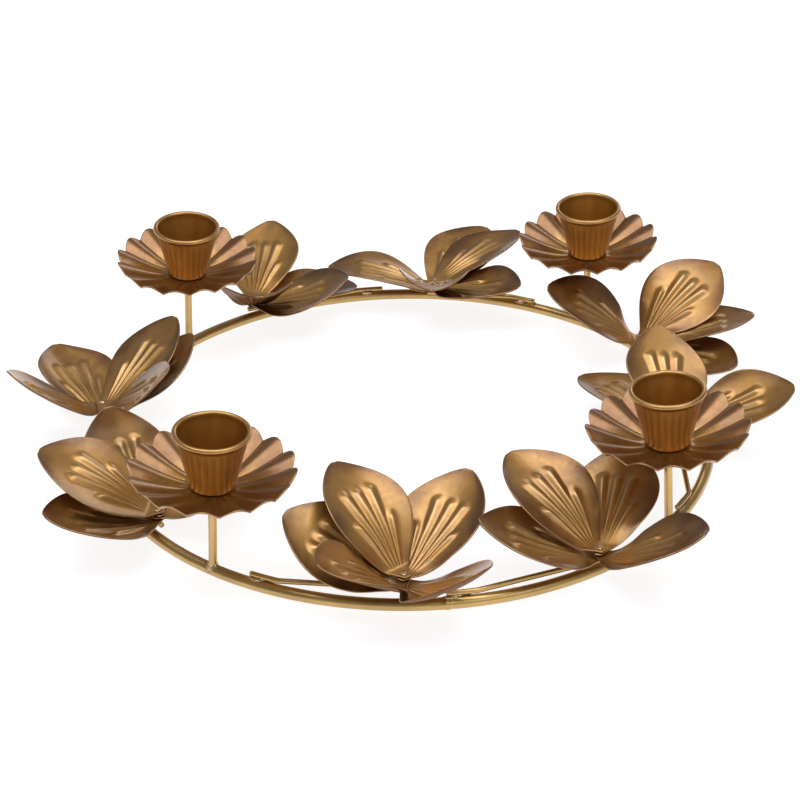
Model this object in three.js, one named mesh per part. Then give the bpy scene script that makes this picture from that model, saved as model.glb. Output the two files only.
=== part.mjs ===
// Floral candle ring: a round-rod hoop that carries four candle cups on fluted drip pans
// and eight flowers of stamped sheet petals on short wires.
// Millimetres, +Z up. The finished group stands on Z = 0, centred on its outline.

import * as THREE from 'three';

// Hoop
const HOOP_RADIUS = 117.5; // to the centre line of the rod
const HOOP_ROD = 4.4; // diameter
const HOOP_STEPS = 72;
const ROD_SIDES = 8;

// Clearance between pieces that are welded or seated on each other
const SEAT_GAP = 0.3;

// Candle stations, in degrees: at is the place around the hoop, lean is the stem's tilt towards
// the middle of the hoop and tilt its tilt along the hoop
const STATIONS = [
  { at: 234.3, lean: 1.5, tilt: 2.6 },
  { at: 322.8, lean: 3.5, tilt: -1.7 },
  { at: 48.1, lean: 4, tilt: -1 },
  { at: 141.8, lean: 4.9, tilt: 1.3 },
];
const STEM_ROD = 3;
const STEM_SIDES = 12;
const STEM_LENGTH = 31.5;

// Drip pans
const PAN_RADIUS = 29;
const PAN_SEAT_RADIUS = 8.6;
const PAN_RISE = 8;
const PAN_CURVE = 1.25; // above 1, the pan steepens towards its rim
const PAN_RINGS = [0, 0.3, 0.65, 1]; // corner points on the way from the seat to the rim
const PAN_SHEET = 0.8;
const FLUTES = 16;
const FLUTE_STEPS = 3; // facets across a flute
const FLUTE_DEPTH = 3;
const FLUTE_ONSET = 0.7; // below 1, the flutes deepen close to the seat
const SCALLOP_DEPTH = 1.6;

// Candle cups
const CUP_MOUTH_BORE = 23.4; // takes a 22 mm candle
const CUP_FLOOR_BORE = 14.8;
const CUP_HEIGHT = 21.4;
const CUP_SHEET = 0.8;
const CUP_FOOT_BEVEL = 0.6;
const CUP_LIP = 1.9; // diameter of the rolled edge
const CUP_LIP_START = -35; // degrees round the rolled edge, from the outside
const CUP_LIP_END = 145;
const CUP_LIP_STEPS = 4;
const CUP_SIDES = 20;

// Flower wires
const WIRE_ROD = 2;
const WIRE_SIDES = 8;
const WIRE_STEPS = 8; // along each of its two runs together
const WIRE_LEG = 11; // welded length that follows the hoop
const WIRE_TAIL = 2.6; // reach beyond the middle of the flower
const WIRE_INSET = 0.8;

// Petals, all from one die
const PETAL_LENGTH = 48; // from the weld to the tip
const PETAL_WIDTH = 34;
const PETAL_SHEET = 0.6;
const PETAL_GAP = 0.5; // between stacked tabs
const PETAL_TAB = 2.4; // radius of the welded tab
const PETAL_BEND = 3; // length of the bend out of the tab
const PETAL_SET = 12; // length over which roll and cup set in beyond the tab
const PETAL_WIDEST = 26.5; // from the weld
const PETAL_TIP = 2.4; // width of the blunt tip
const PETAL_SWELL = 1.15; // above 1, the petal widens late
const PETAL_ROUNDING = 0.75; // below 1, the petal keeps its width towards the tip
const SPINE_STEPS = 48;

// Ribs pressed into a petal: they fan out over numbered rays from -3 to 3, where 0 is the
// petal's middle line, rays -2 to 2 are ribs and the half rays are the valleys between them
const RIB_HEIGHT = 1.1;
const RIB_RISE = 12; // length over which the ribs grow to their full height
const RIB_END = 36; // where the three middle ribs have run out, from the weld
const RIB_END_OUTER = 24; // where the two outer ribs have run out
const RIB_RUNOUT = 2.5;
const RAY_ANGLE = 9; // degrees between one ray and the next
const RAY_ORIGIN = 2; // the rays meet this far behind the weld
const RAYS_ABREAST = 2.7; // rays that fit into half the width where the petal narrows

// One entry a flower, in order around the hoop. at and wireFrom are degrees around the hoop,
// inset is how far inside the hoop's centre line the flower is welded.
// Petals are listed from the wire upwards. Degrees: turn is the way a petal points, from the
// outward direction; rise is its slope, roll its tilt about its own line, curl its bend
// along the length and cup its bend across the width.
const FLOWERS = [
  {
    at: 269, inset: 4.5, wireFrom: 242,
    petals: [
      { turn: -105, rise: 30, roll: -18, curl: 2, cup: 18 },
      { turn: 40, rise: 34, roll: 2, curl: 44, cup: 24 },
      { turn: -42, rise: 35, roll: -8, curl: 10, cup: 40 },
      { turn: 147.5, rise: 27, roll: -6, curl: 24, cup: 25 },
      { turn: -142, rise: 36, roll: 8, curl: -26, cup: 20 },
    ],
  },
  {
    at: 304, inset: 0, wireFrom: 276,
    petals: [
      { turn: -114, rise: 26, roll: -3, curl: 22, cup: 28 },
      { turn: 20, rise: 33, roll: 6, curl: 24, cup: 32 },
      { turn: 129, rise: 22, roll: -10, curl: 16, cup: 15 },
      { turn: -168, rise: 30, roll: -4, curl: -24, cup: 28 },
    ],
  },
  {
    at: 354, inset: 13, wireFrom: 326.5,
    petals: [
      { turn: 142, rise: 8, roll: 9, curl: -20, cup: 19 },
      { turn: -108, rise: 17, roll: 0, curl: 16, cup: 26 },
      { turn: -4, rise: 26, roll: 15, curl: 12, cup: 36 },
      { turn: 100, rise: 25, roll: 11, curl: 26, cup: 12 },
    ],
  },
  {
    at: 31, inset: 2.5, wireFrom: 4,
    petals: [
      { turn: -76, rise: 8, roll: 6, curl: 12, cup: 10 },
      { turn: -32, rise: 16, roll: -6, curl: 4, cup: 22 },
      { turn: 151, rise: 35, roll: -16, curl: -10, cup: 28 },
      { turn: 6, rise: 29, roll: 18, curl: -25, cup: 8 },
    ],
  },
  {
    at: 83.5, inset: 5, wireFrom: 61,
    petals: [
      { turn: -25, rise: 16, roll: 0, curl: -12, cup: 21 },
      { turn: 93, rise: 13, roll: 4, curl: -32, cup: 18 },
      { turn: -122, rise: 16, roll: 6, curl: 28, cup: 38 },
      { turn: -175, rise: 25, roll: -2, curl: -20, cup: 46 },
      { turn: -50, rise: 16, roll: -10, curl: -8, cup: 18 },
    ],
  },
  {
    at: 124, inset: -1, wireFrom: 95,
    petals: [
      { turn: -103, rise: 2, roll: -2, curl: -16, cup: 26 },
      { turn: -141, rise: 23, roll: 9, curl: 22, cup: 12 },
      { turn: 155, rise: 31, roll: -2, curl: -12, cup: 42 },
      { turn: -42, rise: 22, roll: -6, curl: 16, cup: 20 },
    ],
  },
  {
    at: 177, inset: -3, wireFrom: 149,
    petals: [
      { turn: -57, rise: 11, roll: 8, curl: 20, cup: 38 },
      { turn: -148, rise: 30, roll: -8, curl: 32, cup: 8 },
      { turn: -131, rise: 34, roll: -10, curl: 4, cup: 8 },
      { turn: 42, rise: 38, roll: -2, curl: 34, cup: 16 },
      { turn: 142, rise: 35, roll: 20, curl: 20, cup: 12 },
    ],
  },
  {
    at: 218, inset: 3.5, wireFrom: 185,
    petals: [
      { turn: -3, rise: 23, roll: -5, curl: 36, cup: 34 },
      { turn: -190, rise: 18, roll: -2, curl: 11, cup: 28 },
      { turn: -95, rise: 37, roll: -8, curl: 64, cup: 6 },
      { turn: -42, rise: 33, roll: -10, curl: -18, cup: 17 },
    ],
  },
];

const radians = THREE.MathUtils.degToRad;

// Finishes
const hoopGold = { color: 0xb8935a, roughness: 0.38, metalness: 0.7 };
const cupGold = { color: 0x9c6b2e, roughness: 0.36, metalness: 0.7 };
const panBronze = { color: 0x8a5f3c, roughness: 0.42, metalness: 0.65 };
const petalBronze = { color: 0xa87f4c, roughness: 0.42, metalness: 0.65 };

function piece(name, geometry, finish) {
  const mesh = new THREE.Mesh(geometry, new THREE.MeshStandardMaterial(finish));
  mesh.name = name;
  return mesh;
}

// A profile of [radius, height] points turned about the Z axis
function turned(profile, steps) {
  const points = profile.map(([radius, height]) => new THREE.Vector2(radius, height));
  const geometry = new THREE.LatheGeometry(points, steps);
  geometry.rotateX(Math.PI / 2);
  return geometry;
}

// Hoop: its rod is faceted with a flat side down, so that it rests on flat faces
function hoop() {
  const corner = HOOP_ROD / 2 / Math.cos(Math.PI / ROD_SIDES);
  const profile = [];
  for (let i = 0; i <= ROD_SIDES; i += 1) {
    const angle = ((i % ROD_SIDES) + 0.5) * (2 * Math.PI / ROD_SIDES);
    profile.push([HOOP_RADIUS + corner * Math.cos(angle), corner * Math.sin(angle)]);
  }
  return piece('ring_hoop', turned(profile, HOOP_STEPS), hoopGold);
}

// Candle station: stem, drip pan and cup in one leaning group, with Z along the stem
const STEM_FOOT = HOOP_ROD / 2 + SEAT_GAP;
const PAN_BASE = STEM_FOOT + STEM_LENGTH + SEAT_GAP;
const CUP_BASE = PAN_BASE + PAN_SHEET + SEAT_GAP;

function stem(number) {
  const rod = new THREE.CylinderGeometry(STEM_ROD / 2, STEM_ROD / 2, STEM_LENGTH, STEM_SIDES);
  rod.rotateX(Math.PI / 2);
  rod.translate(0, 0, STEM_FOOT + STEM_LENGTH / 2);
  return piece(`stem_${number}`, rod, hoopGold);
}

// The pan's sheet rises from its flat seat in a shallow curve
function panShare(radius) {
  return Math.max(0, (radius - PAN_SEAT_RADIUS) / (PAN_RADIUS - PAN_SEAT_RADIUS));
}

function panHeight(radius) {
  return PAN_RISE * panShare(radius) ** PAN_CURVE;
}

function dripPan(number) {
  const span = PAN_RADIUS - PAN_SEAT_RADIUS;
  const radii = PAN_RINGS.map((share) => PAN_SEAT_RADIUS + span * share);
  const under = radii.map((radius) => [radius, panHeight(radius)]);
  const over = radii.map((radius) => [radius, panHeight(radius) + PAN_SHEET]).reverse();
  const geometry = turned([[0, 0], ...under, ...over, [0, PAN_SHEET]], FLUTE_STEPS * FLUTES);
  flute(geometry);
  geometry.translate(0, 0, PAN_BASE);
  return piece(`drip_pan_${number}`, geometry, panBronze);
}

// Presses round-topped flutes into a pan, deepest at the rim, and scallops its edge:
// the crease is 0 along the crest of a flute and 1 in the fold between two
function flute(geometry) {
  const position = geometry.attributes.position;
  for (let i = 0; i < position.count; i += 1) {
    const x = position.getX(i);
    const y = position.getY(i);
    const radius = Math.hypot(x, y);
    const share = panShare(radius);
    const crease = 1 - Math.abs(Math.sin(FLUTES / 2 * Math.atan2(y, x)));
    const inward = radius > 0 ? 1 - SCALLOP_DEPTH * share * crease / radius : 1;
    const depth = FLUTE_DEPTH * share ** FLUTE_ONSET * crease;
    position.setXYZ(i, x * inward, y * inward, position.getZ(i) - depth);
  }
}

// The cup's outer wall tapers to its foot, and its lip is rolled outwards to a bead
function candleCup(number) {
  const floor = CUP_FLOOR_BORE / 2;
  const mouth = CUP_MOUTH_BORE / 2;
  const bead = CUP_LIP / 2;
  const beadAt = CUP_HEIGHT - bead;
  const foot = floor + CUP_SHEET;
  const profile = [[0, 0], [foot - CUP_FOOT_BEVEL, 0], [foot, CUP_FOOT_BEVEL]];
  profile.push([mouth + CUP_SHEET, beadAt - bead]);
  for (let i = 0; i <= CUP_LIP_STEPS; i += 1) {
    const angle = radians(THREE.MathUtils.lerp(CUP_LIP_START, CUP_LIP_END, i / CUP_LIP_STEPS));
    profile.push([mouth + bead + bead * Math.cos(angle), beadAt + bead * Math.sin(angle)]);
  }
  profile.push([mouth, beadAt - bead], [floor, CUP_SHEET], [0, CUP_SHEET]);
  const geometry = turned(profile, CUP_SIDES);
  geometry.translate(0, 0, CUP_BASE);
  return piece(`candle_cup_${number}`, geometry, cupGold);
}

function candleStation(number, { at, lean, tilt }) {
  const leaning = new THREE.Group();
  leaning.add(stem(number), dripPan(number), candleCup(number));
  leaning.position.x = HOOP_RADIUS;
  leaning.rotation.set(-radians(tilt), -radians(lean), 0);
  const station = new THREE.Group();
  station.add(leaning);
  station.rotation.z = radians(at);
  return station;
}

// Flower wire: a leg welded along the top of the hoop, then a straight run under the flower
const WIRE_LEVEL = HOOP_ROD / 2 + WIRE_ROD / 2 + SEAT_GAP;

function onHoop(degrees, inset) {
  const angle = radians(degrees);
  const radius = HOOP_RADIUS - inset;
  return new THREE.Vector3(radius * Math.cos(angle), radius * Math.sin(angle), WIRE_LEVEL);
}

function wirePath(flower) {
  const legDegrees = THREE.MathUtils.radToDeg(WIRE_LEG / HOOP_RADIUS);
  const start = onHoop(flower.wireFrom, WIRE_INSET);
  const middle = onHoop(flower.wireFrom + legDegrees / 2, WIRE_INSET);
  const elbow = onHoop(flower.wireFrom + legDegrees, WIRE_INSET);
  const weld = onHoop(flower.at, flower.inset);
  const run = weld.clone().sub(elbow).normalize();
  const tail = weld.clone().addScaledVector(run, WIRE_TAIL);
  const path = new THREE.CurvePath();
  path.add(new THREE.QuadraticBezierCurve3(start, middle, elbow));
  path.add(new THREE.LineCurve3(elbow, tail));
  return path;
}

function flowerWire(number, flower) {
  const section = new THREE.Shape();
  section.absarc(0, 0, WIRE_ROD / 2, 0, 2 * Math.PI);
  const path = wirePath(flower);
  const geometry = new THREE.ExtrudeGeometry(section, {
    extrudePath: path, steps: WIRE_STEPS, curveSegments: WIRE_SIDES / 2, bevelEnabled: false,
  });
  return piece(`flower_wire_${number}`, geometry, hoopGold);
}

// Petal: distances along it run from the weld, s, and its rays from edge to edge are columns
const BEND_END = PETAL_TAB + PETAL_BEND;
const PETAL_ROWS = [
  -PETAL_TAB,
  PETAL_TAB,
  BEND_END,
  (BEND_END + RIB_END_OUTER) / 2,
  RIB_END_OUTER,
  RIB_END - RIB_RUNOUT,
  RIB_END,
  (RIB_END + PETAL_LENGTH) / 2,
  PETAL_LENGTH,
];
const EDGE_RAY = 3;
const OUTER_RIB = 2;
const PETAL_RAYS = [];
for (let ray = -EDGE_RAY; ray <= EDGE_RAY; ray += 0.5) PETAL_RAYS.push(ray);

function ease(share) {
  const t = THREE.MathUtils.clamp(share, 0, 1);
  return t * t * (3 - 2 * t);
}

function halfWidth(s) {
  const full = PETAL_WIDTH / 2;
  if (s < 0) return PETAL_TAB + s / 2;
  if (s < PETAL_WIDEST) {
    const swell = Math.sin(Math.PI / 2 * s / PETAL_WIDEST) ** PETAL_SWELL;
    return PETAL_TAB + (full - PETAL_TAB) * swell;
  }
  const taper = Math.PI / 2 * (s - PETAL_WIDEST) / (PETAL_LENGTH - PETAL_WIDEST);
  const narrowing = Math.max(0, Math.cos(taper)) ** PETAL_ROUNDING;
  return PETAL_TIP / 2 + (full - PETAL_TIP / 2) * narrowing;
}

// The petal's middle line: flat on the tab, a short bend, then a slope that changes by the curl
function spine(petal, s) {
  const slopeAt = (d) => {
    const share = d / PETAL_LENGTH;
    const slope = radians(petal.rise + petal.curl * (share - 0.5));
    return slope * ease((d - PETAL_TAB) / PETAL_BEND);
  };
  const step = s / SPINE_STEPS;
  let x = Math.min(s, 0);
  let z = 0;
  for (let i = 0; i < SPINE_STEPS && s > 0; i += 1) {
    const slope = slopeAt((i + 0.5) * step);
    x += Math.cos(slope) * step;
    z += Math.sin(slope) * step;
  }
  return { x, z, slope: slopeAt(s) };
}

// Distance of a ray from the petal's middle line
function across(s, ray) {
  if (Math.abs(ray) === EDGE_RAY) return Math.sign(ray) * halfWidth(s);
  const from = Math.max(s, PETAL_TAB);
  const angle = radians(RAY_ANGLE * Math.abs(ray));
  const fan = (from + RAY_ORIGIN) * Math.tan(angle) / halfWidth(from);
  return Math.sign(ray) * Math.min(fan, Math.abs(ray) / RAYS_ABREAST) * halfWidth(s);
}

function ribHeight(s, ray) {
  if (!Number.isInteger(ray) || Math.abs(ray) > OUTER_RIB) return 0;
  const end = Math.abs(ray) === OUTER_RIB ? RIB_END_OUTER : RIB_END;
  return RIB_HEIGHT * ease((s - PETAL_TAB) / RIB_RISE) * ease((end - s) / RIB_RUNOUT);
}

// Top and bottom point of the sheet at one place of a petal
function sheetPoints(petal, s, ray) {
  const { x, z, slope } = spine(petal, s);
  const set = ease((s - PETAL_TAB) / PETAL_SET);
  const roll = radians(petal.roll) * set;
  const cup = Math.max(1e-3, radians(petal.cup) * set);
  const bendRadius = PETAL_WIDTH / 2 / cup;
  const phi = across(s, ray) / bendRadius;
  const out = new THREE.Vector3(-Math.sin(slope), 0, Math.cos(slope));
  const along = new THREE.Vector3(Math.cos(slope), 0, Math.sin(slope));
  const side = new THREE.Vector3(0, 1, 0).applyAxisAngle(along, roll);
  out.applyAxisAngle(along, roll);
  const under = new THREE.Vector3(x, 0, z);
  under.addScaledVector(side, bendRadius * Math.sin(phi));
  under.addScaledVector(out, bendRadius * (1 - Math.cos(phi)));
  const normal = out.clone().multiplyScalar(Math.cos(phi)).addScaledVector(side, -Math.sin(phi));
  under.addScaledVector(normal, ribHeight(s, ray));
  return [under.clone().addScaledVector(normal, PETAL_SHEET), under];
}

// Closes the two faces of a grid of sheet points into one body
function sheetGeometry(rows) {
  const count = rows[0].length;
  const points = [];
  for (const row of rows) {
    for (const [top, under] of row) points.push(...top.toArray(), ...under.toArray());
  }
  const top = (r, c) => 2 * (r * count + c);
  const under = (r, c) => top(r, c) + 1;
  const faces = [];
  const quad = (a, b, c, d) => faces.push(a, b, c, a, c, d);
  for (let r = 0; r + 1 < rows.length; r += 1) {
    for (let c = 0; c + 1 < count; c += 1) {
      quad(top(r, c), top(r + 1, c), top(r + 1, c + 1), top(r, c + 1));
      quad(under(r, c), under(r, c + 1), under(r + 1, c + 1), under(r + 1, c));
    }
    quad(top(r, 0), under(r, 0), under(r + 1, 0), top(r + 1, 0));
    quad(top(r, count - 1), top(r + 1, count - 1), under(r + 1, count - 1), under(r, count - 1));
  }
  const last = rows.length - 1;
  for (let c = 0; c + 1 < count; c += 1) {
    quad(top(0, c), top(0, c + 1), under(0, c + 1), under(0, c));
    quad(top(last, c), under(last, c), under(last, c + 1), top(last, c + 1));
  }
  const geometry = new THREE.BufferGeometry();
  geometry.setAttribute('position', new THREE.Float32BufferAttribute(points, 3));
  geometry.setIndex(faces);
  geometry.computeVertexNormals();
  return geometry;
}

function petalGeometry(petal) {
  return sheetGeometry(PETAL_ROWS.map((s) => PETAL_RAYS.map((ray) => sheetPoints(petal, s, ray))));
}

// Flower: its petals' tabs are stacked on the wire
function flowerHead(number, flower) {
  const head = new THREE.Group();
  flower.petals.forEach((petal, level) => {
    const blade = piece(`flower_${number}_petal_${level + 1}`, petalGeometry(petal), petalBronze);
    blade.position.z = level * (PETAL_SHEET + PETAL_GAP);
    blade.rotation.z = radians(petal.turn);
    head.add(blade);
  });
  head.position.copy(onHoop(flower.at, flower.inset));
  head.position.z = WIRE_LEVEL + WIRE_ROD / 2 + SEAT_GAP;
  head.rotation.z = radians(flower.at);
  return head;
}

const ring = new THREE.Group();
ring.add(hoop());
STATIONS.forEach((station, i) => ring.add(candleStation(i + 1, station)));
FLOWERS.forEach((flower, i) => ring.add(flowerWire(i + 1, flower), flowerHead(i + 1, flower)));

// Stand the ring on Z = 0, with the origin under the middle of its outline
const outline = new THREE.Box3().setFromObject(ring, true);
const middle = outline.getCenter(new THREE.Vector3());
ring.position.set(-middle.x, -middle.y, -outline.min.z);

const holder = new THREE.Group();
holder.name = 'floral_candle_ring';
holder.add(ring);
holder.updateMatrixWorld(true);

export default holder;
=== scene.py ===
# Floral candle ring in satin antique gold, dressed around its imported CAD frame.
# Sizes are written in millimetres, measured from the centre of the hoop, and scaled once by MM.

import math
import random

import bpy
import numpy as np
from mathutils import Matrix, Vector, noise


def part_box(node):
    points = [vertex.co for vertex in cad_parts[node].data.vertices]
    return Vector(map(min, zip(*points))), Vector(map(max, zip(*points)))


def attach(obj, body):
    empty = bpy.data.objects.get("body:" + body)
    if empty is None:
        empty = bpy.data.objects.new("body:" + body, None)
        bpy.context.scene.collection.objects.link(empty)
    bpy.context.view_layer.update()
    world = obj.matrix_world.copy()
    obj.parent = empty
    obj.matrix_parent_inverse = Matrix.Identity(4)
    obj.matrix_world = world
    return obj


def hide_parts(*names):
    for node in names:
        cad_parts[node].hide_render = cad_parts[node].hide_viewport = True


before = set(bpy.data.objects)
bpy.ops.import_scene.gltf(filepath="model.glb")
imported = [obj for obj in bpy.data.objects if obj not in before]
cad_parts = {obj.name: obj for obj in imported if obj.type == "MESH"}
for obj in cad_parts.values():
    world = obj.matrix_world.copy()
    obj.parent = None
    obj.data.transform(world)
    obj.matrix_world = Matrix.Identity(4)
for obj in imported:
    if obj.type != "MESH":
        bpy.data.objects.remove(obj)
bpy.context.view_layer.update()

MM = 0.001

# Hoop
HOOP_RADIUS = 117.5
HOOP_ROD = 4.4
HOOP_STEPS = 360
HOOP_SIDES = 20
HOOP_SEAM = 276.0  # degrees around the hoop, where its two ends are butt-welded
HOOP_SEAM_SPAN = 2.5  # degrees on each side of the seam that have finer steps
SEAM_BEAD = 0.28
SEAM_BEAD_REACH = 1.3
SEAM_LUMPS = 0.3
SEAM_LUMPS_REACH = 2.0
SEAT_GAP = 0.3

# Stems and candle stations: degrees around the hoop, lean towards its middle, tilt along it
STATIONS = [
    (234.3, 1.5, 2.6),
    (322.8, 3.5, -1.7),
    (48.1, 4.0, -1.0),
    (141.8, 4.9, 1.3),
]
STEM_ROD = 3.0
STEM_LENGTH = 31.5
STEM_SIDES = 24
STEM_WELD_FLARE = 1.0
STEM_WELD_RISE = 1.5
STEM_WELD_WOBBLE = 0.16

# Drip pans
PAN_RADIUS = 29.0
PAN_SEAT_RADIUS = 8.6
PAN_RISE = 8.0
PAN_CURVE = 1.25
PAN_SHEET = 0.8
FLUTES = 16
FLUTE_STEPS = 20
FLUTE_DEPTH = 3.0
FLUTE_ONSET = 0.7  # power by which the flutes deepen outwards
SCALLOP_DEPTH = 1.6
PAN_UNEVENNESS = 0.5  # at the rim, as a pressed sheet springs back

# Candle cups
CUP_MOUTH_BORE = 23.4
CUP_FLOOR_BORE = 14.8
CUP_HEIGHT = 21.4
CUP_SHEET = 0.8
CUP_FOOT_ROUNDING = 0.9
CUP_LIP = 1.9
CUP_SIDES = 96

# Flower wires
WIRE_ROD = 2.0
WIRE_LEG = 11.0
WIRE_TAIL = 2.6
WIRE_INSET = 0.8
WIRE_SIDES = 16
TACK_PLACES = (0.2, 0.62)  # shares of the leg at which it is tacked to the hoop
TACK_OFFSET = 0.9
TACK_SIZE = (2.4, 0.85, 0.75)
SPOT_WELD_SIZE = (1.5, 1.2, 0.45)

# Petals
PETAL_LENGTH = 48.0
PETAL_WIDTH = 34.0
PETAL_SHEET = 0.6
PETAL_GAP = 0.5
PETAL_TAB = 2.4
PETAL_BEND = 3.0
PETAL_SET = 12.0
PETAL_WIDEST = 26.5
PETAL_SWELL = 1.15  # power of the outline from the tab to the widest place
PETAL_ROUNDING = 0.75  # power of the outline from there to the tip
PETAL_TIP = 2.4
PETAL_WAVE = 0.35
TONE_SPREAD = 0.12  # by how much one petal's lacquer may be browner than the next

# Ribs of a petal, on rays numbered from its middle line
RIB_HEIGHT = 1.1
RIB_RISE = 17.0
RIB_END = 36.0
RIB_END_OUTER = 24.0
RIB_RUNOUT = 3.4
RIB_CREST = 0.22  # rounding of the crest, as a share of the way to the next valley
RIB_HOLLOW = 1.5  # power that hollows the flanks
RAY_ANGLE = 9.0
RAY_ORIGIN = 2.0
RAYS_ABREAST = 2.7
EDGE_RAY = 3.0
LAST_INNER_RAY = 2.5

# One entry a flower: degrees around the hoop, inset from its centre line, degrees where the
# wire starts, then turn, rise, roll, curl and cup in degrees for each petal, from the wire up
FLOWERS = [
    (269, 4.5, 242, [
        (-105, 30, -18, 2, 18), (40, 34, 2, 44, 24), (-42, 35, -8, 10, 40),
        (147.5, 27, -6, 24, 25), (-142, 36, 8, -26, 20)]),
    (304, 0, 276, [
        (-114, 26, -3, 22, 28), (20, 33, 6, 24, 32), (129, 22, -10, 16, 15),
        (-168, 30, -4, -24, 28)]),
    (354, 13, 326.5, [
        (142, 8, 9, -20, 19), (-108, 17, 0, 16, 26), (-4, 26, 15, 12, 36),
        (100, 25, 11, 26, 12)]),
    (31, 2.5, 4, [
        (-76, 8, 6, 12, 10), (-32, 16, -6, 4, 22), (151, 35, -16, -10, 28),
        (6, 29, 18, -25, 8)]),
    (83.5, 5, 61, [
        (-25, 16, 0, -12, 21), (93, 13, 4, -32, 18), (-122, 16, 6, 28, 38),
        (-175, 25, -2, -20, 46), (-50, 16, -10, -8, 18)]),
    (124, -1, 95, [
        (-103, 2, -2, -16, 26), (-141, 23, 9, 22, 12), (155, 31, -2, -12, 42),
        (-42, 22, -6, 16, 20)]),
    (177, -3, 149, [
        (-57, 11, 8, 20, 38), (-148, 30, -8, 32, 8), (-131, 34, -10, 4, 8),
        (42, 38, -2, 34, 16), (142, 35, 20, 20, 12)]),
    (218, 3.5, 185, [
        (-3, 23, -5, 36, 34), (-190, 18, -2, 11, 28), (-95, 37, -8, 64, 6),
        (-42, 33, -10, -18, 17)]),
]

# Camera, aimed at a point given from the centre of the hoop
CAMERA_ELEVATION = 29.78
CAMERA_DISTANCE = 734.4
CAMERA_ROLL = -0.61
CAMERA_AIM = (-2.7, 0.0, 12.7)
FOCAL_PIXELS = 1885.0
PICTURE_PIXELS = 800.0
SENSOR_WIDTH = 36.0

# Lamps, in metres: name, place, width and height, radiance
LAMPS = [
    ("key", (0.0, -0.1, 1.05), (1.35, 0.7), 2.6),
    ("rear", (0.38, 1.0, 0.5), (0.5, 0.4), 1.6),
    ("front", (0.55, -0.85, 0.6), (0.6, 0.5), 1.2),
]
WORLD_STRENGTH = 0.24
FLOOR_WIDTH = 8.0
FLOOR_COLOUR = (0.42, 0.42, 0.43)
FLOOR_GLOW = 0.86  # for rays that carry what is seen

# Lacquer
METALLIC = 0.85
COAT = 1.0
COAT_UNDERNEATH = 0.1
COAT_ROUGHNESS = 0.22
GRAZING_TINT = (0.62, 0.44, 0.36)
GRAIN_DEPTH = 0.0002
# bright gold of petal edges and rib crests: cut-edge wear and painted highlight
WEAR_AND_HIGHLIGHT_GOLD = (0.66, 0.43, 0.18)

hoop_low, hoop_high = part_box("ring_hoop")
CENTRE = (Vector(hoop_low) + Vector(hoop_high)) / 2 / MM
rng = random.Random(7)


def degrees_matrix(degrees, axis):
    return Matrix.Rotation(math.radians(degrees), 4, axis)


def ease(share):
    t = np.clip(share, 0.0, 1.0)
    return t * t * (3 - 2 * t)


# Mesh helpers

def placed(points, matrix):
    """Points in millimetres, moved by a matrix and then into the frame."""
    turn = np.array(matrix.to_3x3())
    move = np.array(matrix.translation) + np.array(CENTRE)
    return (np.asarray(points) @ turn.T + move) * MM


def make_piece(name, points, faces, material, node=None, values=None):
    mesh = bpy.data.meshes.new(name)
    mesh.from_pydata(points.tolist(), [], faces if isinstance(faces, list) else faces.tolist())
    mesh.shade_smooth()
    for key, numbers in (values or {}).items():
        layer = mesh.attributes.new(key, "FLOAT", "POINT")
        layer.data.foreach_set("value", np.ascontiguousarray(numbers, dtype=np.float32))
    mesh.materials.append(material)
    piece = bpy.data.objects.new(name, mesh)
    bpy.context.scene.collection.objects.link(piece)
    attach(piece, "root")
    if node:
        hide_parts(node)
    return piece


def grid_faces(rows, columns, wrap_rows=False, wrap_columns=False):
    """Quads over a grid of points, numbered row by row."""
    r = np.arange(rows if wrap_rows else rows - 1)
    c = np.arange(columns if wrap_columns else columns - 1)
    r, c = np.meshgrid(r, c, indexing="ij")
    r2 = (r + 1) % rows
    c2 = (c + 1) % columns
    corners = [r * columns + c, r2 * columns + c, r2 * columns + c2, r * columns + c2]
    return np.stack([k.ravel() for k in corners], axis=1)


def turned(profile, steps):
    """A closed profile of (radius, height) turned about Z, with no point on the axis."""
    profile = np.array(profile)
    angle = np.linspace(0, 2 * math.pi, steps, endpoint=False)
    x = profile[None, :, 0] * np.cos(angle)[:, None]
    y = profile[None, :, 0] * np.sin(angle)[:, None]
    z = np.broadcast_to(profile[None, :, 1], x.shape)
    points = np.stack([x, y, z], axis=-1).reshape(-1, 3)
    faces = grid_faces(steps, len(profile), wrap_rows=True, wrap_columns=True)
    return points, faces


def arc(centre, radius, start, stop, count):
    angle = np.radians(np.linspace(start, stop, count))
    return [(centre[0] + radius * math.cos(a), centre[1] + radius * math.sin(a)) for a in angle]


def tube(path, radius, sides, closed=False):
    """A round tube along points, either closed on itself or open at both ends."""
    path = np.array(path)
    if closed:
        run = np.roll(path, -1, axis=0) - np.roll(path, 1, axis=0)
    else:
        run = np.gradient(path, axis=0)
    run /= np.linalg.norm(run, axis=1)[:, None]
    side = np.cross(run, (0.0, 0.0, 1.0))
    if np.abs(run[0][2]) > 0.9:
        side = np.cross(run, (0.0, 1.0, 0.0))
    side /= np.linalg.norm(side, axis=1)[:, None]
    up = np.cross(side, run)
    angle = np.linspace(0, 2 * math.pi, sides, endpoint=False)
    ring = side[:, None, :] * np.cos(angle)[None, :, None]
    ring = ring + up[:, None, :] * np.sin(angle)[None, :, None]
    points = path[:, None, :] + ring * radius
    return points.reshape(-1, 3), grid_faces(len(path), sides, closed, True)


# Materials

def node_of(tree, kind, **settings):
    node = tree.nodes.new(kind)
    for key, value in settings.items():
        setattr(node, key, value)
    return node


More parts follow.
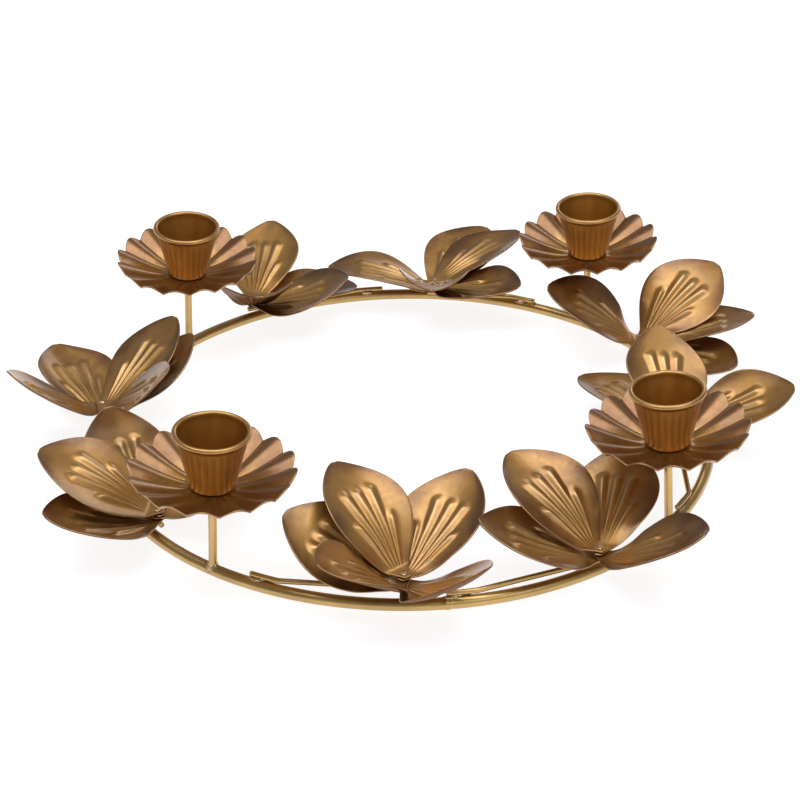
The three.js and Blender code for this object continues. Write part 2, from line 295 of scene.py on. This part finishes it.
def noise_value(tree, scale, detail=4.0, stretch=None):
    where = node_of(tree, "ShaderNodeTexCoord")
    source = where.outputs["Object"]
    if stretch:
        mapping = node_of(tree, "ShaderNodeMapping")
        mapping.inputs["Scale"].default_value = stretch
        tree.links.new(source, mapping.inputs["Vector"])
        source = mapping.outputs["Vector"]
    texture = node_of(tree, "ShaderNodeTexNoise")
    texture.inputs["Scale"].default_value = scale
    texture.inputs["Detail"].default_value = detail
    tree.links.new(source, texture.inputs["Vector"])
    return texture.outputs["Fac"]


def attribute(tree, name):
    return node_of(tree, "ShaderNodeAttribute", attribute_name=name).outputs["Fac"]


def ranged(tree, value, low, high, to_low, to_high):
    node = node_of(tree, "ShaderNodeMapRange", interpolation_type="SMOOTHSTEP")
    tree.links.new(value, node.inputs["Value"])
    node.inputs["From Min"].default_value = low
    node.inputs["From Max"].default_value = high
    node.inputs["To Min"].default_value = to_low
    node.inputs["To Max"].default_value = to_high
    return node.outputs["Result"]


def calculated(tree, operation, first, second):
    node = node_of(tree, "ShaderNodeMath", operation=operation)
    for socket, value in zip(node.inputs, (first, second)):
        if isinstance(value, (int, float)):
            socket.default_value = value
        else:
            tree.links.new(value, socket)
    return node.outputs["Value"]


def blended(tree, share, first, second):
    node = node_of(tree, "ShaderNodeMix", data_type="RGBA")
    tree.links.new(share, node.inputs["Factor"])
    for name, colour in (("A", first), ("B", second)):
        socket = [s for s in node.inputs if s.name == name and s.type == "RGBA"][0]
        if isinstance(colour, tuple):
            socket.default_value = (*colour, 1.0)
        else:
            tree.links.new(colour, socket)
    return [s for s in node.outputs if s.type == "RGBA"][0]


def lacquered_metal(name, light, dark, roughness, shade=None, rim=None, grain=520.0, stretch=None):
    """Satin lacquer over metal: mottled from light to dark, with painted highlights and wear where
    rim says.
    """
    material = bpy.data.materials.new(name)
    material.use_nodes = True
    tree = material.node_tree
    shader = tree.nodes["Principled BSDF"]
    share = ranged(tree, noise_value(tree, 55.0), 0.36, 0.66, 0.0, 0.45)
    if shade:
        share = calculated(tree, "ADD", share, shade(tree))
    colour = blended(tree, ranged(tree, share, 0.0, 1.0, 0.0, 1.0), light, dark)
    if rim:
        # blends in the rim colour: painted highlights, and wear on petal edges
        value, wear_and_highlight = rim(tree)
        colour = blended(tree, value, colour, wear_and_highlight)
    tree.links.new(colour, shader.inputs["Base Color"])
    speckle = noise_value(tree, grain, 3.0, stretch)
    rough = ranged(tree, speckle, 0.3, 0.7, roughness - 0.05, roughness + 0.06)
    tree.links.new(rough, shader.inputs["Roughness"])
    bump = node_of(tree, "ShaderNodeBump")
    bump.inputs["Strength"].default_value = 0.12
    bump.inputs["Distance"].default_value = GRAIN_DEPTH
    tree.links.new(speckle, bump.inputs["Height"])
    tree.links.new(bump.outputs["Normal"], shader.inputs["Normal"])
    shader.inputs["Metallic"].default_value = METALLIC
    coat = ranged(tree, attribute(tree, "under"), 0.0, 1.0, COAT, COAT_UNDERNEATH)
    tree.links.new(coat, shader.inputs["Coat Weight"])
    shader.inputs["Coat Roughness"].default_value = COAT_ROUGHNESS
    shader.inputs["Specular Tint"].default_value = (*GRAZING_TINT, 1.0)
    return material


def petal_shade(tree):
    """Browner towards the sides and the tip, and darker underneath as painted shade."""
    side = ranged(tree, attribute(tree, "across"), 0.45, 1.0, 0.0, 0.45)
    tip = ranged(tree, attribute(tree, "along"), 0.7, 1.0, 0.0, 0.3)
    # each petal's own tone, plus painted shade on the underside
    tone = calculated(tree, "ADD", attribute(tree, "tone"), attribute(tree, "under"))
    return calculated(tree, "ADD", calculated(tree, "ADD", side, tip), tone)


def petal_rim(tree):
    """Brighter on the top face: along the edge as cut-edge wear with painted highlight, and on the
    rib crests as painted highlight.
    """
    edge = ranged(tree, attribute(tree, "edge"), 0.1, 0.4, 0.5, 0.0)
    # painted highlight on the crests of the ribs
    crest = ranged(tree, attribute(tree, "crest"), 0.45, 1.0, 0.0, 0.75)
    above = calculated(tree, "SUBTRACT", 1.0, attribute(tree, "under"))
    wear_and_highlight = calculated(tree, "MAXIMUM", edge, crest)
    return calculated(tree, "MULTIPLY", wear_and_highlight, above), WEAR_AND_HIGHLIGHT_GOLD


def pan_shade(tree):
    return ranged(tree, attribute(tree, "along"), 0.0, 0.75, 0.0, 0.75)


# lighter gold in a thin band along the rim edge of the pan
def pan_rim(tree):
    return ranged(tree, attribute(tree, "edge"), 0.1, 0.4, 0.6, 0.0), (0.58, 0.36, 0.17)


# painted highlight: lighter gold towards the rolled lip of the cup
def cup_rim(tree):
    return ranged(tree, attribute(tree, "edge"), 0.3, 1.4, 0.3, 0.0), (0.55, 0.32, 0.12)


PETAL_METAL = lacquered_metal(
    "petal_bronze", (0.55, 0.29, 0.075), (0.2, 0.088, 0.032), 0.4, petal_shade, petal_rim)
PAN_METAL = lacquered_metal(
    "pan_bronze", (0.56, 0.295, 0.075), (0.28, 0.13, 0.045), 0.37, pan_shade, pan_rim)
CUP_METAL = lacquered_metal(
    "cup_gold", (0.58, 0.31, 0.065), (0.36, 0.18, 0.04), 0.36, None, cup_rim, 420.0, (1, 1, 0.06))
HOOP_METAL = lacquered_metal(
    "hoop_gold", (0.68, 0.44, 0.14), (0.42, 0.26, 0.08), 0.33)
WELD_METAL = lacquered_metal(
    "weld_gold", (0.66, 0.46, 0.24), (0.36, 0.2, 0.09), 0.26, None, None, 900.0)


# Hoop, with the raised bead of its butt weld

def build_hoop():
    angle = np.linspace(0, 360, HOOP_STEPS, endpoint=False)
    fine = HOOP_SEAM + np.linspace(-HOOP_SEAM_SPAN, HOOP_SEAM_SPAN, 41)
    angle = np.unique(np.round(np.concatenate([angle, fine]), 4))
    path = [(HOOP_RADIUS * math.cos(a), HOOP_RADIUS * math.sin(a), 0.0) for a in np.radians(angle)]
    points, faces = tube(path, HOOP_ROD / 2, HOOP_SIDES, closed=True)
    away = (points - np.repeat(path, HOOP_SIDES, axis=0)) / (HOOP_ROD / 2)
    distance = np.repeat((angle - HOOP_SEAM) * math.pi / 180 * HOOP_RADIUS, HOOP_SIDES)
    bead = SEAM_BEAD * np.exp(-(distance / SEAM_BEAD_REACH) ** 2)
    lumps = np.array([noise.noise(Vector(p) * 0.9) for p in points])
    rough = SEAM_LUMPS * lumps * np.exp(-(distance / SEAM_LUMPS_REACH) ** 2)
    clear_of_table = ease((away[:, 2] + 1.0) / 0.5)
    points = points + away * ((bead + rough) * clear_of_table)[:, None]
    make_piece("hoop_rod", placed(points, Matrix()), faces, HOOP_METAL, "ring_hoop")


# Candle stations

STEM_FOOT = HOOP_ROD / 2 + SEAT_GAP
PAN_BASE = STEM_FOOT + STEM_LENGTH + SEAT_GAP
CUP_BASE = PAN_BASE + PAN_SHEET + SEAT_GAP


def station_matrix(degrees, lean, tilt):
    out = Matrix.Translation((HOOP_RADIUS, 0, 0))
    stand = degrees_matrix(-tilt, "X") @ degrees_matrix(-lean, "Y")
    return degrees_matrix(degrees, "Z") @ out @ stand


def build_stem(number, matrix):
    height = np.linspace(HOOP_ROD / 2 - 0.3, PAN_BASE - 0.02, 40)
    path = [(0.0, 0.0, z) for z in height]
    points, faces = tube(path, STEM_ROD / 2, STEM_SIDES)
    points, faces = capped(points, faces, STEM_SIDES)
    make_piece(f"stem_rod_{number}", placed(points, matrix), faces, HOOP_METAL,
               f"stem_{number}")


def capped(points, faces, sides):
    """Closes an open tube with a flat fan at each end."""
    first = points[:sides].mean(axis=0)
    last = points[-sides:].mean(axis=0)
    count = len(points)
    base = count - sides
    fans = [[k, count, (k + 1) % sides] for k in range(sides)]
    fans += [[base + k, base + (k + 1) % sides, count + 1] for k in range(sides)]
    return np.vstack([points, first, last]), faces.tolist() + fans


def build_stem_weld(number, matrix):
    """The small fillet that joins a stem's foot to the hoop."""
    steps = 32
    rings = 9
    angle = np.linspace(0, 2 * math.pi, steps, endpoint=False)
    points = []
    for k in range(rings):
        share = k / (rings - 1)
        reach = STEM_ROD / 2 - 0.1 + STEM_WELD_FLARE * (1 - share) ** 2
        for a in angle:
            spot = Vector((math.cos(a) * 1.7, math.sin(a) * 1.7, number + share))
            wobble = 1 + STEM_WELD_WOBBLE * noise.noise(spot)
            x = reach * wobble * math.cos(a)
            y = reach * wobble * math.sin(a) * 1.15
            saddle = math.sqrt(max(0.0, (HOOP_ROD / 2) ** 2 - x * x)) - 0.15
            points.append((x, y, saddle + share * (STEM_WELD_RISE + 0.3 * math.sin(2 * a + number))))
    points = np.array(points)
    faces = grid_faces(rings, steps, False, True)[:, ::-1]
    points, faces = capped(points, faces, steps)
    make_piece(f"stem_weld_{number}", placed(points, matrix), faces, WELD_METAL)


def pan_share(radius):
    return np.maximum(0.0, (radius - PAN_SEAT_RADIUS) / (PAN_RADIUS - PAN_SEAT_RADIUS))


def build_pan(number, matrix):
    """A fluted dish: round-topped flutes that deepen to a scalloped rim."""
    edge = PAN_SHEET / 2
    radii = [0.6, 4.0, PAN_SEAT_RADIUS - 0.6, PAN_SEAT_RADIUS]
    radii += list(np.linspace(PAN_SEAT_RADIUS, PAN_RADIUS - edge, 26)[1:])
    radii = np.array(radii)
    lower = [(r, 0.0) for r in radii]
    rim = arc((PAN_RADIUS - edge, edge), edge, -60, 60, 5)
    upper = [(r, PAN_SHEET) for r in radii[::-1]]
    profile = np.array(lower + rim + upper)
    points, faces = turned(profile, FLUTE_STEPS * FLUTES)
    faces = faces[:, ::-1]
    radius = np.hypot(points[:, 0], points[:, 1])
    share = pan_share(radius)
    angle = np.arctan2(points[:, 1], points[:, 0])
    crease = 1 - np.abs(np.sin(FLUTES / 2 * angle))
    inward = 1 - SCALLOP_DEPTH * share * crease / radius
    lift = PAN_RISE * share ** PAN_CURVE - FLUTE_DEPTH * share ** FLUTE_ONSET * crease
    spots = [Vector((math.cos(a) * 2.2, math.sin(a) * 2.2, number * 3.1)) for a in angle]
    uneven = np.array([noise.noise(spot) for spot in spots])
    lift = lift + PAN_UNEVENNESS * uneven * share ** 2
    x, y, z = points.T
    points = np.stack([x * inward, y * inward, z + lift + PAN_BASE], axis=1)
    values = {"along": np.clip(share, 0, 1), "edge": PAN_RADIUS - radius}
    make_piece(f"pan_dish_{number}", placed(points, matrix), faces, PAN_METAL,
               f"drip_pan_{number}", values)


def build_cup(number, matrix):
    """A spun cup that tapers to its foot, with its lip rolled outwards."""
    floor = CUP_FLOOR_BORE / 2
    mouth = CUP_MOUTH_BORE / 2
    bead = CUP_LIP / 2
    bead_at = CUP_HEIGHT - bead
    foot = CUP_FOOT_ROUNDING
    profile = [(0.4, 0.0), (floor * 0.6, 0.0), (floor + CUP_SHEET - foot, 0.0)]
    profile += arc((floor + CUP_SHEET - foot, foot), foot, -75, -12, 5)
    wall = np.linspace(0.08, 1.0, 14)
    outer_top = bead_at - bead
    for t in wall:
        profile.append((floor + CUP_SHEET + (mouth - floor) * t, foot + (outer_top - foot) * t))
    profile += arc((mouth + bead, bead_at), bead, -70, 180, 16)
    inner_foot = CUP_SHEET + 0.6
    for t in wall[::-1]:
        profile.append((floor + (mouth - floor) * t, inner_foot + (outer_top - inner_foot) * t))
    profile += [(floor - 0.6, CUP_SHEET + 0.1), (floor * 0.6, CUP_SHEET), (0.4, CUP_SHEET)]
    points, faces = turned(profile, CUP_SIDES)
    faces = faces[:, ::-1]
    radius = np.hypot(points[:, 0], points[:, 1])
    edge = np.abs(CUP_HEIGHT - points[:, 2])
    points = points + (0, 0, CUP_BASE)
    make_piece(f"cup_shell_{number}", placed(points, matrix), faces, CUP_METAL,
               f"candle_cup_{number}", {"edge": edge, "along": radius / mouth})


# Flower wires

WIRE_LEVEL = HOOP_ROD / 2 + WIRE_ROD / 2 + SEAT_GAP


def on_hoop(degrees, inset):
    angle = math.radians(degrees)
    radius = HOOP_RADIUS - inset
    return np.array((radius * math.cos(angle), radius * math.sin(angle), WIRE_LEVEL))


def build_wire(number, at, inset, wire_from):
    leg = math.degrees(WIRE_LEG / HOOP_RADIUS)
    along = np.linspace(0, leg, 10)
    path = [on_hoop(wire_from + a, WIRE_INSET) for a in along]
    weld = on_hoop(at, inset)
    run = (weld - path[-1]) / np.linalg.norm(weld - path[-1])
    tail = weld + run * WIRE_TAIL
    path += [path[-1] + (tail - path[-1]) * t for t in np.linspace(0.03, 1, 30)]
    points, faces = tube(path, WIRE_ROD / 2, WIRE_SIDES)
    points, faces = capped(points, faces, WIRE_SIDES)
    make_piece(f"wire_rod_{number}", placed(points, Matrix()), faces, HOOP_METAL,
               f"flower_wire_{number}")
    for k, share in enumerate(TACK_PLACES):
        place = on_hoop(wire_from + leg * share, WIRE_INSET + TACK_OFFSET * (1 if k else -1))
        place[2] = HOOP_ROD / 2 + 0.15
        heading = wire_from + leg * share + 90
        build_bead(f"wire_weld_{number}_{k + 1}", place, heading, TACK_SIZE, number * 5.3 + k)


def build_bead(name, place, heading, size, seed):
    """A lumpy run of weld metal."""
    rows = 14
    sides = 20
    points = []
    for r in range(1, rows):
        tilt = math.pi * r / rows
        for c in range(sides):
            a = 2 * math.pi * c / sides
            p = Vector((-math.cos(tilt), math.sin(tilt) * math.cos(a), math.sin(tilt) * math.sin(a)))
            swell = 1 + 0.35 * noise.noise(p * 1.9 + Vector((seed, 0, 0)))
            points.append([swell * p[i] * size[i] for i in range(3)])
    points, faces = capped(np.array(points), grid_faces(rows - 1, sides, False, True), sides)
    matrix = Matrix.Translation(place) @ degrees_matrix(heading, "Z")
    make_piece(name, placed(points, matrix), faces, WELD_METAL)


# Petals

def half_width(s):
    full = PETAL_WIDTH / 2
    swelling = np.sin(math.pi / 2 * np.clip(s, 0, PETAL_WIDEST) / PETAL_WIDEST) ** PETAL_SWELL
    taper = np.clip((s - PETAL_WIDEST) / (PETAL_LENGTH - PETAL_WIDEST), 0, 1)
    narrowing = np.cos(math.pi / 2 * taper).clip(0) ** PETAL_ROUNDING
    inner = PETAL_TAB + (full - PETAL_TAB) * swelling
    outer = PETAL_TIP / 2 + (full - PETAL_TIP / 2) * narrowing
    width = np.where(s < PETAL_WIDEST, inner, outer)
    return np.where(s < 0, PETAL_TAB + s / 2, width)


def spine(rise, curl, s):
    """Middle line of a petal: place along X, height and slope for each s."""
    fine = np.linspace(0, PETAL_LENGTH, 600)
    slope = np.radians(rise + curl * (fine / PETAL_LENGTH - 0.5))
    slope = slope * ease((fine - PETAL_TAB) / PETAL_BEND)
    step = fine[1] - fine[0]
    middle = (slope[1:] + slope[:-1]) / 2
    x = np.concatenate([[0], np.cumsum(np.cos(middle) * step)])
    z = np.concatenate([[0], np.cumsum(np.sin(middle) * step)])
    inside = np.clip(s, 0, None)
    place = np.interp(inside, fine, x) + np.minimum(s, 0)
    return place, np.interp(inside, fine, z), np.interp(inside, fine, slope)


def across(s, ray):
    """Share of the half width at which a ray crosses, level with s."""
    size = np.abs(ray)
    inner = np.minimum(size, LAST_INNER_RAY)
    fanned = (np.maximum(s, PETAL_TAB) + RAY_ORIGIN) * np.tan(np.radians(RAY_ANGLE * inner))
    share = np.minimum(fanned / half_width(s), inner / RAYS_ABREAST)
    rest = (size - inner) / (EDGE_RAY - LAST_INNER_RAY)
    return np.sign(ray) * (share + (1 - share) * rest)


def rib_height(s, ray):
    """Straight ribs that fan from the tab, with hollow flanks and round ends."""
    height = np.zeros_like(ray)
    for rib in (-2, -1, 0, 1, 2):
        end = RIB_END_OUTER if abs(rib) == 2 else RIB_END
        beside = 2 * (ray - rib)
        beyond = np.maximum(0.0, (s - end + RIB_RUNOUT) / RIB_RUNOUT)
        away = np.sqrt(beside ** 2 + beyond ** 2 + RIB_CREST ** 2) - RIB_CREST
        height += np.maximum(0.0, 1 - away) ** RIB_HOLLOW
    return RIB_HEIGHT * ease((s - PETAL_TAB) / RIB_RISE) * height


EDGE_STEPS = np.array([0.0, 0.04, 0.13, 0.3])
PETAL_ROWS = 72
PETAL_COLUMNS = 73  # a whole number for each quarter ray, so that crests fall on columns


def petal_points(rise, roll, curl, cup, seed):
    """Both faces of the sheet on one grid, meeting in a rounded edge."""
    radius = PETAL_SHEET / 2
    inner = np.linspace(-PETAL_TAB + radius, PETAL_LENGTH - radius, PETAL_ROWS)
    s = np.concatenate([-PETAL_TAB + EDGE_STEPS[:-1], inner, PETAL_LENGTH - EDGE_STEPS[-2::-1]])
    width = half_width(s)
    ray = np.linspace(-EDGE_RAY, EDGE_RAY, PETAL_COLUMNS)
    inside = across(s[:, None], ray[None, :]) * (width[:, None] - radius)
    left = -width[:, None] + EDGE_STEPS[None, :-1]
    y = np.concatenate([left, inside, -left[:, ::-1]], axis=1)
    beside = [EDGE_RAY] * (len(EDGE_STEPS) - 1)
    ray = np.concatenate([np.negative(beside), ray, beside])
    ray = np.broadcast_to(ray[None, :], y.shape)
    s = np.broadcast_to(s[:, None], y.shape)
    x, z, slope = spine(rise, curl, s)
    settled = ease((s - PETAL_TAB) / PETAL_SET)
    bend = np.maximum(1e-3, math.radians(cup) * settled) / (PETAL_WIDTH / 2)
    tilt = math.radians(roll) * settled
    phi = y * bend
    along = np.stack([np.cos(slope), 0 * slope, np.sin(slope)], axis=-1)
    out = np.stack([-np.sin(slope), 0 * slope, np.cos(slope)], axis=-1)
    side = np.zeros_like(out)
    side[..., 1] = 1
    turn_side = side * np.cos(tilt)[..., None] + np.cross(along, side) * np.sin(tilt)[..., None]
    turn_out = out * np.cos(tilt)[..., None] + np.cross(along, out) * np.sin(tilt)[..., None]
    normal = turn_out * np.cos(phi)[..., None] - turn_side * np.sin(phi)[..., None]
    base = np.stack([x, 0 * x, z], axis=-1)
    base = base + turn_side * (np.sin(phi) / bend)[..., None]
    base = base + turn_out * ((1 - np.cos(phi)) / bend)[..., None]
    reach = (s / PETAL_LENGTH).clip(0) ** 2
    wave = PETAL_WAVE * reach * np.sin(y * 0.19 + seed) * np.cos(s * 0.13 + seed * 1.7)
    rib = rib_height(s, ray)
    height = rib + wave + radius
    to_side = width[:, None] - np.abs(y)
    to_end = np.minimum(s + PETAL_TAB, PETAL_LENGTH - s)
    edge = np.minimum(to_side, to_end)
    inset = 1 - np.clip(edge / radius, 0, 1)
    thick = radius * np.sqrt(1 - inset ** 2)
    top = base + normal * (height + thick)[..., None]
    under = base + normal * (height - thick)[..., None]
    values = {"along": s / PETAL_LENGTH, "across": np.abs(y) / width[:, None], "edge": edge,
              "crest": rib / RIB_HEIGHT}
    return top, under, values


def build_petal(name, node, matrix, shape, seed, tone):
    rise, roll, curl, cup = shape
    top, under, values = petal_points(rise, roll, curl, cup, seed)
    rows, columns = top.shape[:2]
    count = rows * columns
    inner = np.zeros((rows, columns), bool)
    inner[1:-1, 1:-1] = True
    number = np.arange(count)
    below = number.copy()
    below[inner.ravel()] = count + np.arange(inner.sum())
    faces = grid_faces(rows, columns)
    faces = np.vstack([faces, below[faces][:, ::-1]])
    points = np.vstack([top.reshape(-1, 3), under[inner]])
    values = {key: np.concatenate([v.ravel(), v[inner]]) for key, v in values.items()}
    values["under"] = (np.arange(len(points)) >= count).astype(float)
    values["tone"] = np.full(len(points), tone)
    make_piece(name, placed(points, matrix), faces, PETAL_METAL, node, values)


def build_flower(number, at, inset, wire_from, petals):
    build_wire(number, at, inset, wire_from)
    head = on_hoop(at, inset)
    head[2] = WIRE_LEVEL + WIRE_ROD / 2 + SEAT_GAP
    for level, (turn, rise, roll, curl, cup) in enumerate(petals):
        lift = Matrix.Translation((0, 0, level * (PETAL_SHEET + PETAL_GAP)))
        matrix = Matrix.Translation(head) @ degrees_matrix(at, "Z") @ lift @ degrees_matrix(turn, "Z")
        name = f"petal_{number}_{level + 1}"
        node = f"flower_{number}_petal_{level + 1}"
        seed = rng.uniform(0, 6)
        tone = rng.uniform(-TONE_SPREAD, TONE_SPREAD)
        build_petal(name, node, matrix, (rise, roll, curl, cup), seed, tone)
    top = head + np.array((0, 0, len(petals) * (PETAL_SHEET + PETAL_GAP) - PETAL_GAP))
    build_bead(f"spot_weld_{number}", top, at, SPOT_WELD_SIZE, number * 2.9)


# Stage: a pale floor under soft lamps

def build_floor():
    half = FLOOR_WIDTH / 2
    mesh = bpy.data.meshes.new("floor")
    corners = [(-half, -half, 0), (half, -half, 0), (half, half, 0), (-half, half, 0)]
    mesh.from_pydata(corners, [], [(0, 1, 2, 3)])
    mesh.materials.append(floor_material())
    floor = bpy.data.objects.new("floor", mesh)
    bpy.context.scene.collection.objects.link(floor)


def seen_ray(tree):
    """1 for rays that carry what is seen, straight or in a reflection or through glass."""
    path = node_of(tree, "ShaderNodeLightPath")
    first = calculated(tree, "MAXIMUM", path.outputs["Is Camera Ray"], path.outputs["Is Glossy Ray"])
    return calculated(tree, "MAXIMUM", first, path.outputs["Is Transmission Ray"])


def floor_material():
    material = bpy.data.materials.new("floor_white")
    material.use_nodes = True
    tree = material.node_tree
    shader = tree.nodes["Principled BSDF"]
    shader.inputs["Base Color"].default_value = (*FLOOR_COLOUR, 1)
    shader.inputs["Roughness"].default_value = 0.9
    shader.inputs["Specular IOR Level"].default_value = 0.0
    glow = node_of(tree, "ShaderNodeEmission")
    glow.inputs["Color"].default_value = (1, 1, 1, 1)
    tree.links.new(calculated(tree, "MULTIPLY", seen_ray(tree), FLOOR_GLOW), glow.inputs["Strength"])
    both = node_of(tree, "ShaderNodeAddShader")
    tree.links.new(shader.outputs["BSDF"], both.inputs[0])
    tree.links.new(glow.outputs["Emission"], both.inputs[1])
    tree.links.new(both.outputs["Shader"], tree.nodes["Material Output"].inputs["Surface"])
    return material


def build_world():
    world = bpy.data.worlds.new("studio")
    world.use_nodes = True
    bpy.context.scene.world = world
    back = world.node_tree.nodes["Background"]
    back.inputs["Color"].default_value = (1, 1, 1, 1)
    back.inputs["Strength"].default_value = WORLD_STRENGTH


def build_stage():
    build_floor()
    build_world()
    for name, place, size, radiance in LAMPS:
        add_lamp(name, place, size, radiance)


def add_lamp(name, place, size, radiance):
    lamp = bpy.data.lights.new(name, "AREA")
    lamp.shape = "RECTANGLE"
    lamp.size, lamp.size_y = size
    lamp.energy = radiance * math.pi * size[0] * size[1]
    holder = bpy.data.objects.new(name, lamp)
    holder.location = place
    holder.rotation_euler = (-Vector(place)).to_track_quat("-Z", "Y").to_euler()
    bpy.context.scene.collection.objects.link(holder)


def build_camera():
    data = bpy.data.cameras.new("camera")
    data.sensor_width = SENSOR_WIDTH
    data.lens = SENSOR_WIDTH * FOCAL_PIXELS / PICTURE_PIXELS
    camera = bpy.data.objects.new("camera", data)
    tilt = math.radians(CAMERA_ELEVATION)
    aim = (Vector(CENTRE) + Vector(CAMERA_AIM)) * MM
    ahead = Vector((0, math.cos(tilt), -math.sin(tilt)))
    place = Matrix.Translation(aim - ahead * CAMERA_DISTANCE * MM)
    level = Matrix.Rotation(math.radians(90 - CAMERA_ELEVATION), 4, "X")
    camera.matrix_world = place @ level @ Matrix.Rotation(math.radians(CAMERA_ROLL), 4, "Z")
    bpy.context.scene.collection.objects.link(camera)
    bpy.context.scene.camera = camera


build_camera()
build_hoop()
for i, station in enumerate(STATIONS):
    stand = station_matrix(*station)
    build_stem(i + 1, stand)
    build_stem_weld(i + 1, stand)
    build_pan(i + 1, stand)
    build_cup(i + 1, stand)
for i, (at, inset, wire_from, petals) in enumerate(FLOWERS):
    build_flower(i + 1, at, inset, wire_from, petals)
build_stage()
bpy.context.scene.view_settings.view_transform = "Standard"
